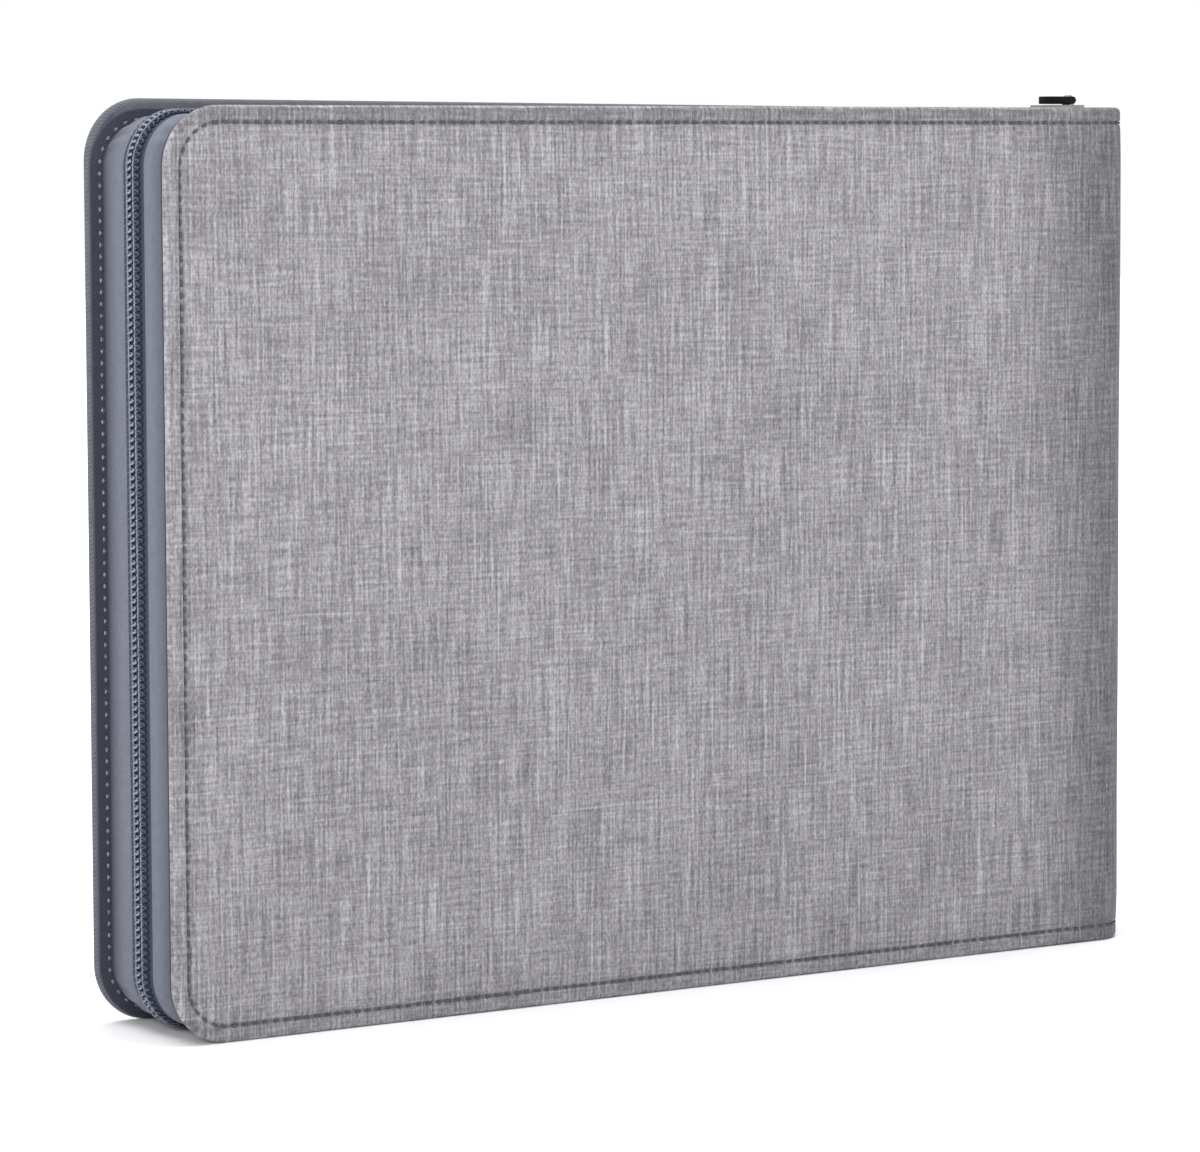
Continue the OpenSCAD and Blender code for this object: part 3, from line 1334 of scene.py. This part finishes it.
    def build(self) -> dict[Part, bpy.types.Object]:
        """Builds the five stretches of cloth.

        Returns:
            The pieces by stretch.
        """
        flat = self.flat_cloth()
        for part in Part:
            start, end = SHAPE.stretch(part)
            mesh = flat.copy()
            small = 0.01 * MM
            gone = [
                f
                for f in mesh.faces
                if not start - small < f.calc_center_median().x < end + small
            ]
            bmesh.ops.delete(mesh, geom=gone, context="FACES")
            layer = mesh.verts.layers.float_vector.new("cloth")
            for vert in mesh.verts:
                vert[layer] = vert.co.copy()
                point = vert.co.copy()
                inward = point.y - self.swell(point) * (point.y < 0.6 * MM)
                x, y = SHAPE.wrap(point.x, inward)
                vert.co = (x, y, point.z)
                vert.co.z += self.lifted_rim(vert.co, point.x)
            for face in mesh.faces:
                centre = sum((v[layer] for v in face.verts), Vector()) / len(face.verts)
                rim = min(centre.z, SHAPE.height - centre.z, centre.x)
                rim = min(rim, SHAPE.cloth_run - centre.x)
                rear = centre.x > SHAPE.cloth_run / 2
                if centre.y > self.inner_face:
                    face.material_index = 1 if rim < self.flange else 2
                elif rear and centre.y > self.bound_rim:
                    face.material_index = 3
            name = part.value + "_cloth"
            piece = make_piece(name, mesh, [WEAVE, FLANGE, LINING, BINDING])
            add_run(piece, self.hem_place)
            self.store_painted_shade(piece)
            self.pieces[part] = piece
        flat.free()
        self.attach()
        return self.pieces

    def hem_place(self, point: Vector) -> tuple[float, float, float]:
        """Measures a point along the hem, whose tape has one tone right across.

        Args:
            point: The point.

        Returns:
            How far it is along the run, a fixed place across, and how far outward.
        """
        along, out = SHAPE.rim_place(point)
        return along, self.even_across, out

    def store_painted_shade(self, piece: bpy.types.Object) -> None:
        """Stores how much painted shade each point gets: at the seam, on the hem band,
        most under the top rim, and towards the spine.

        Args:
            piece: A stretch of the cloth.
        """
        store = piece.data.attributes.new("seam", "FLOAT", "POINT")
        places = piece.data.attributes["cloth"].data
        for place, value in zip(places, store.data):
            along, inward, height = place.vector
            rim = min(height, SHAPE.height - height, along)
            rim = min(rim, SHAPE.cloth_run - along) / MM
            hem = SHAPE.hem / MM
            # Painted shade along the seam's groove.
            near = max(0.0, 0.62 - abs(rim - hem) / 1.6)
            # Painted shade on the hem band between rim and seam, strongest along the
            # top.
            top = min(max((height - SHAPE.height) / MM / 8 + 1, 0), 1)
            inside = 0.08 + 0.5 * top if 0.6 < rim < hem + 0.4 else 0.0
            # Painted shade towards the spine, where the cover curves away from the
            # light.
            past_cover = min(along, SHAPE.cloth_run - along) - SHAPE.cover_run
            bend = max(past_cover / self.spine_shade_run + self.spine_shade_at_bend, 0)
            bend = min(bend, self.spine_shade_most)
            value.value = max(near, inside, bend) if inward < 1.6 * MM else 0.0

    def attach(self) -> None:
        """Ties the covers' and the spine's stretches to what they move with, and leaves
        the bends where they lie.
        """
        cloth = self.pieces
        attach(cloth[Part.FRONT_COVER], "front_cover")
        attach(cloth[Part.SPINE], "spine")
        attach(cloth[Part.REAR_COVER], "rear_cover")
        for side in Side:
            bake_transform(cloth[Part(f"{side.stem}_bend")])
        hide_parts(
            "front_cover_fabric", "front_cover_lining"
        )
        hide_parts("rear_cover_fabric", "rear_cover_lining")
        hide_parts("spine_fabric", "spine_lining")
        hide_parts("front_bend")
        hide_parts("rear_bend")


@dataclass
class Stitching:
    """Lockstitch round the hem, outside and inside."""

    pitch: float = 3.1 * MM

    def seam(self, inset: float) -> list[tuple[float, float, float, float]]:
        """Walks a seam on the flat cloth.

        Args:
            inset: How far inside the rim it runs.

        Returns:
            Place along the cloth, height, and the stitch's direction, for each stitch.
        """
        radius = SHAPE.corner - inset
        left, right = inset, SHAPE.cloth_run - inset
        low, high = inset, SHAPE.height - inset
        legs: list[tuple[Vector, Vector]] = [
            (Vector((left + radius, low)), Vector((right - radius, low))),
            (Vector((right, low + radius)), Vector((right, high - radius))),
            (Vector((right - radius, high)), Vector((left + radius, high))),
            (Vector((left, high - radius)), Vector((left, low + radius))),
        ]
        centres = [
            Vector((right - radius, low + radius)),
            Vector((right - radius, high - radius)),
            Vector((left + radius, high - radius)),
            Vector((left + radius, low + radius)),
        ]
        stitches: list[tuple[float, float, float, float]] = []
        for turn, ((start, end), centre) in enumerate(zip(legs, centres)):
            count = round((end - start).length / self.pitch)
            step = (end - start) / count
            for k in range(count):
                point = start + step * (k + 0.5)
                stitches.append((point.x, point.y, step.x, step.y))
            arc = radius * math.pi / 2
            count = round(arc / self.pitch)
            for k in range(count):
                angle = math.pi / 2 * (turn - 1 + (k + 0.5) / count)
                out = Vector((math.cos(angle), math.sin(angle)))
                point = centre + radius * out
                stitches.append((point.x, point.y, -out.y, out.x))
        return stitches

    def build(self) -> None:
        """Builds the stitches on each stretch, and ties those on the covers and the
        spine to their bodies.
        """
        shape = bmesh.new()
        bmesh.ops.create_uvsphere(shape, u_segments=6, v_segments=4, radius=1)
        unit = bpy.data.meshes.new("stitch")
        shape.to_mesh(unit)
        shape.free()
        inner = SHAPE.cover + 0.62 * MM
        for part in Part:
            start, end = SHAPE.stretch(part)
            mesh = bmesh.new()
            rows = [(SHAPE.hem, 0.3 * MM, (1.9, 0.74), 0)]
            if part in (Part.FRONT_COVER, Part.REAR_COVER):
                rows.append((3.3 * MM, inner, (1.5, 0.8), 1))
                rows.append((3.9 * MM, inner, (1.1, 0.7), 0))
            for inset, inward, size, finish in rows:
                before = len(mesh.faces)
                for along, height, run, rise in self.seam(inset):
                    if start <= along < end:
                        way = (run, rise)
                        self.add_stitch(mesh, unit, (along, height), way, inward, size)
                mesh.faces.ensure_lookup_table()
                for face in mesh.faces[before:]:
                    face.material_index = finish
            name = part.value + "_stitches"
            piece = make_piece(name, mesh, [THREAD, PALE_THREAD], 80)
            bends = {Part.FRONT_BEND: "front_cover", Part.REAR_BEND: "rear_cover"}
            if part in bends:
                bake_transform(piece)
            else:
                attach(piece, part.value)

    def add_stitch(
        self,
        mesh: bmesh.types.BMesh,
        unit: bpy.types.Mesh,
        place: tuple[float, float],
        way: tuple[float, float],
        inward: float,
        size: tuple[float, float],
    ) -> None:
        """Adds one stitch.

        Args:
            mesh: The bmesh that takes it.
            unit: A ball of radius 1, to copy.
            place: Its place along the cloth, and its height.
            way: Its direction along the cloth and upward.
            inward: How deep it lies.
            size: Its length and width in millimetres.
        """
        along, height = place
        run, rise = way
        x, y = SHAPE.wrap(along, inward)
        ahead_x, ahead_y = SHAPE.wrap(along + 0.01 * MM, inward)
        cloth = Vector((ahead_x - x, ahead_y - y, 0)).normalized()
        up = Vector((0, 0, 1))
        length = (cloth * run + up * rise).normalized()
        normal = cloth.cross(up)
        side = normal.cross(length)
        turned = Matrix((length, side, normal)).transposed().to_4x4()
        half_length, half_width = size[0] / 2 * MM, size[1] / 2 * MM
        scale = Matrix.Diagonal((half_length, half_width, half_width, 1))
        copy = unit.copy()
        copy.transform(Matrix.Translation((x, y, height)) @ turned @ scale)
        mesh.from_mesh(copy)
        bpy.data.meshes.remove(copy)


# --- Zip ------------------------------------------------------------------------------


@dataclass
class ZipTape:
    """One half of the zip's tape, sewn to a cover and curved out to the coil."""

    side: Side
    top: float = -2.1 * MM
    thick: float = 0.6 * MM
    middle: float = 0.5 * MM
    flat: float = 5.6 * MM
    foot: float = 19.9 * MM
    foot_out: float = -0.5 * MM
    end_x: float = 152.5 * MM
    gathers: float = 0.35 * MM
    steps: int = 12

    def section(self) -> list[tuple[float, float]]:
        """The tape's section, as distance outward of the rim and Y."""
        last = self.foot - self.thick
        drop = SHAPE.hem + self.top
        curve = []
        for k in range(self.steps + 1):
            share = k / self.steps
            y = self.flat + (last - self.flat) * share
            curve.append((self.top - drop * share**2.2, y))
        rounded = [(-4.25 * MM, last - 0.02 * MM), (self.foot_out - 0.2 * MM, last)]
        outer = [(self.top, self.middle), *curve[:-1], *rounded]
        outer += [(self.foot_out, last + 0.15 * MM), (self.foot_out, self.foot)]
        outer += [(curve[-1][0] - self.thick, self.foot)]
        inner = [(u - self.thick, y) for u, y in reversed(curve)]
        inner.append((self.top - self.thick, self.middle))
        return [(u, self.side.value * y) for u, y in outer + inner]

    def build(self) -> bpy.types.Object:
        """Builds the tape and ties it to its cover."""
        mesh = sweep_rim(self.section(), self.end_x, self.end_x)
        sink_zip(mesh, self.gathers)
        stem = self.side.stem
        piece = make_piece(f"{stem}_tape", mesh, [TAPE], 35)
        add_run(piece, SHAPE.rim_run_place)
        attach(piece, self.side.cover)
        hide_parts(f"{stem}_zip_tape")
        return piece


@dataclass
class ZipCoil:
    """One half of the coil: a flattened spiral of nylon, with its sewing thread."""

    side: Side
    pitch: float = 2.0 * MM
    wire: float = 0.34 * MM
    centre: float = 2.25 * MM
    reach: float = 1.6 * MM
    middle_out: float = -1.55 * MM
    rise: float = 0.36 * MM
    low_x: float = 148.5 * MM
    turn_points: int = 8

    @property
    def top_x(self) -> float:
        """X of the upper end; the front coil ends where the slider rests."""
        return 139.6 * MM if self.side is Side.FRONT else 152 * MM

    def spiral(self) -> list[Vector]:
        """Points along the spiral, from its lower to its upper end."""
        start = SHAPE.right - self.low_x
        end = SHAPE.rim_run - (SHAPE.right - self.top_x)
        count = round((end - start) / self.pitch * self.turn_points)
        phase = 0.0 if self.side is Side.FRONT else math.pi
        points = []
        for k in range(count + 1):
            along = start + (end - start) * k / count
            angle = 2 * math.pi * k / self.turn_points + phase
            out = self.middle_out + self.rise * math.sin(angle)
            x, z = SHAPE.rim_point(along, out)
            y = self.centre + self.reach * math.cos(angle)
            points.append(Vector((x, self.side.value * y, z)))
        return points

    def build(self) -> bpy.types.Object:
        """Builds the spiral and ties it to its cover."""
        stem = self.side.stem
        points = self.spiral()
        curve = bpy.data.curves.new(f"{stem}_spiral", "CURVE")
        curve.dimensions = "3D"
        curve.bevel_depth = self.wire
        curve.bevel_resolution = 1
        curve.use_fill_caps = True
        spline = curve.splines.new("POLY")
        spline.points.add(len(points) - 1)
        for slot, point in zip(spline.points, points):
            slot.co = (*point, 1)
        holder = bpy.data.objects.new(f"{stem}_spiral", curve)
        bpy.context.scene.collection.objects.link(holder)
        bpy.context.view_layer.update()
        shaped = holder.evaluated_get(bpy.context.evaluated_depsgraph_get())
        data = bpy.data.meshes.new_from_object(shaped)
        bpy.data.objects.remove(holder)
        mesh = bmesh.new()
        mesh.from_mesh(data)
        bpy.data.meshes.remove(data)
        sink_zip(mesh)
        piece = make_piece(f"{stem}_coil", mesh, [COIL], 80)
        add_run(piece, SHAPE.rim_run_place)
        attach(piece, self.side.cover)
        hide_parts(f"{stem}_zip_coil")
        return piece


@dataclass
class CoilThread:
    """The pale chain stitch that sews each half of the coil to its tape."""

    side: Side
    inner: float = 1.55 * MM
    outer: float = 1.95 * MM
    low: float = -1.15 * MM
    high: float = -0.78 * MM
    low_x: float = 148.5 * MM
    top_x: float = 139 * MM

    def build(self) -> None:
        """Builds the thread and ties it to its cover."""
        sign = self.side.value
        middle = (self.inner + self.outer) / 2
        section = [
            (self.low, self.inner),
            (self.high - 0.1 * MM, self.inner),
            (self.high, middle),
            (self.high - 0.1 * MM, self.outer),
            (self.low, self.outer),
        ]
        section = [(u, sign * y) for u, y in section]
        mesh = sweep_rim(section, self.low_x, self.top_x)
        sink_zip(mesh)
        name = f"{self.side.stem}_coil_thread"
        piece = make_piece(name, mesh, [PALE_THREAD], 60)
        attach(piece, self.side.cover)


@dataclass
class Slider:
    """The slider with its bridge, and the pull that turns on it."""

    rounding_mm: float = 0.22
    stop_rounding_mm: float = 0.35

    def build(self) -> None:
        """Rounds the cast pieces' edges and ties them to their bodies."""
        body = softened_node("slider_body", "zip_slider", NICKEL, self.rounding_mm)
        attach(body, "slider")
        pull = softened_node("pull_tab", "zip_pull", BLACK_ZINC, self.rounding_mm)
        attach(pull, "pull")
        for side in Side:
            node, name = f"{side.stem}_zip_stop", f"{side.stem}_stop"
            stop = softened_node(node, name, STOP_NYLON, self.stop_rounding_mm)
            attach(stop, side.cover)


# --- Inside ---------------------------------------------------------------------------


@dataclass
class PocketPage:
    """A page: its black sheet and clear pockets, rounded and a little wavy."""

    number: int
    corner: float = 3 * MM
    wave: float = 0.22 * MM
    grid: float = 11 * MM

    def lift(self, x: float, z: float, hinge: float) -> float:
        """How far the page waves at a point, growing away from its hinge.

        Args:
            x: The point's X.
            z: The point's Z.
            hinge: X of the hinge.

        Returns:
            How far it is moved in Y.
        """
        share = min(max((hinge - x) / (120 * MM), 0), 1)
        wave = noise.noise(Vector((x * 13, self.number * 3.7, z * 11)))
        return wave * self.wave * 2 * share

    def shape(self, node: str, name: str, finish: Finish) -> bpy.types.Object:
        """Rounds a node's free corners, cuts it into a grid and waves it.

        Args:
            node: The CAD node.
            name: The new piece's name.
            finish: Its finish.

        Returns:
            The piece.
        """
        mesh = merged_node(node, 1)
        low = Vector(map(min, zip(*(v.co for v in mesh.verts))))
        high = Vector(map(max, zip(*(v.co for v in mesh.verts))))
        near = 0.5 * MM
        corners = []
        for edge in mesh.edges:
            start, end = (v.co for v in edge.verts)
            upright = abs(start.x - end.x) + abs(start.z - end.z) > 0.01 * MM
            outer = min(start.z - low.z, high.z - start.z) < near
            if not upright and outer and start.x - low.x < near:
                corners.append(edge)
        bmesh.ops.bevel(
            mesh,
            geom=corners,
            offset=self.corner,
            segments=6,
            profile=0.5,
            affect="EDGES",
            material=-1,
        )
        for axis, normal in ((0, Vector((1, 0, 0))), (2, Vector((0, 0, 1)))):
            cut = low[axis] + self.grid
            while cut < high[axis] - near:
                cut_across(mesh, normal * cut, normal)
                cut += self.grid
        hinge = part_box(f"page_{self.number:02d}_sheet")[1].x
        for vert in mesh.verts:
            vert.co.y += self.lift(vert.co.x, vert.co.z, hinge)
        piece = make_piece(name, mesh, [finish], 30)
        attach(piece, f"page_{self.number:02d}")
        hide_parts(node)
        return piece

    def build(self) -> None:
        """Builds the page's two pieces."""
        stem = f"page_{self.number:02d}"
        sheet = self.shape(f"{stem}_sheet", f"{stem}_backing", PAGE_SHEET)
        film = self.shape(f"{stem}_pockets", f"{stem}_film", FILM)


@dataclass
class Inside:
    """What lies inside: the fillings, the binding and the pages."""

    pages: int = 10

    def dress(self, node: str, finish: Finish) -> None:
        """Gives a CAD node its finish.

        Args:
            node: The node.
            finish: The finish.
        """
        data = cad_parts[node].data
        data.materials.clear()
        data.materials.append(finish.build())
        LOG.info("%s: %s", node, finish.name)

    def build(self) -> None:
        """Dresses every inner node."""
        for side in Side:
            self.dress(f"{side.cover}_foam", FOAM)
            self.dress(f"{side.cover}_board", BOARD)
        self.dress("spine_board", BOARD)
        self.dress("page_binding", PAGE_SHEET)
        for number in range(1, self.pages + 1):
            PocketPage(number).build()


# --- Studio ---------------------------------------------------------------------------


@dataclass
class Studio:
    """Pale floor, soft lights and the camera."""

    lens: float = 145.6
    place: tuple[float, float, float] = (-0.7441, -1.1144, 0.2287)
    turn: float = -33.3
    pitch: float = -4.95
    roll: float = -0.21
    ambient: float = 0.6

    def floor(self) -> None:
        """Lays a wide pale floor."""
        mesh = bmesh.new()
        bmesh.ops.create_grid(mesh, x_segments=4, y_segments=4, size=6)
        piece = make_piece("studio_floor", mesh, [StudioPaper()])

    def lamp(
        self,
        name: str,
        place: tuple[float, float, float],
        size: float,
        power: float,
        aim: tuple[float, float, float] = (0, 0, 0.12),
    ) -> None:
        """Hangs a soft square lamp.

        Args:
            name: Its name.
            place: Where it hangs.
            size: Its width.
            power: Its power in watts.
            aim: What it points at.
        """
        data = bpy.data.lights.new(name, "AREA")
        data.size = size
        data.energy = power
        lamp = bpy.data.objects.new(name, data)
        lamp.location = place
        way = Vector(aim) - Vector(place)
        lamp.rotation_euler = way.to_track_quat("-Z", "Y").to_euler()
        bpy.context.scene.collection.objects.link(lamp)

    def build(self) -> None:
        """Sets up the floor, lights, surroundings and camera."""
        self.floor()
        bpy.context.scene.view_settings.view_transform = "Standard"
        self.lamp("key", (-2.2, -1.7, 1.2), 1.0, 32)
        self.lamp("top", (0.0, 0.2, 2.6), 3.0, 90, (0, 0.2, 0))
        world = bpy.data.worlds.new("Studio")
        bpy.context.scene.world = world
        world.use_nodes = True
        tree = world.node_tree
        seen = add_node(tree, "ShaderNodeLightPath").outputs["Is Camera Ray"]
        strength = add_node(
            tree,
            "ShaderNodeMapRange",
            None,
            {"To Min": self.ambient, "To Max": 1.0},
            {"Value": seen},
        )
        sky = tree.nodes["Background"]
        sky.inputs["Color"].default_value = linear("FFFFFF")
        tree.links.new(strength.outputs[0], sky.inputs["Strength"])
        data = bpy.data.cameras.new("Camera")
        data.lens = self.lens
        data.sensor_width = 36
        data.sensor_fit = "HORIZONTAL"
        data.clip_start = 0.05
        data.clip_end = 60
        camera = bpy.data.objects.new("Camera", data)
        turned = (
            Matrix.Rotation(math.radians(self.turn), 4, "Z")
            @ Matrix.Rotation(math.radians(90 + self.pitch), 4, "X")
            @ Matrix.Rotation(math.radians(self.roll), 4, "Z")
        )
        camera.matrix_world = Matrix.Translation(self.place) @ turned
        bpy.context.scene.collection.objects.link(camera)
        bpy.context.scene.camera = camera


def main() -> None:
    """Builds every sub-assembly in order."""
    style = "%(relativeCreated)d %(name)s %(message)s"
    logging.basicConfig(level=logging.INFO, format=style)
    OuterFabric().build()
    Stitching().build()
    for side in Side:
        ZipTape(side).build()
        ZipCoil(side).build()
        CoilThread(side).build()
    Slider().build()
    Inside().build()
    Studio().build()


if __name__ == "__main__":
    main()
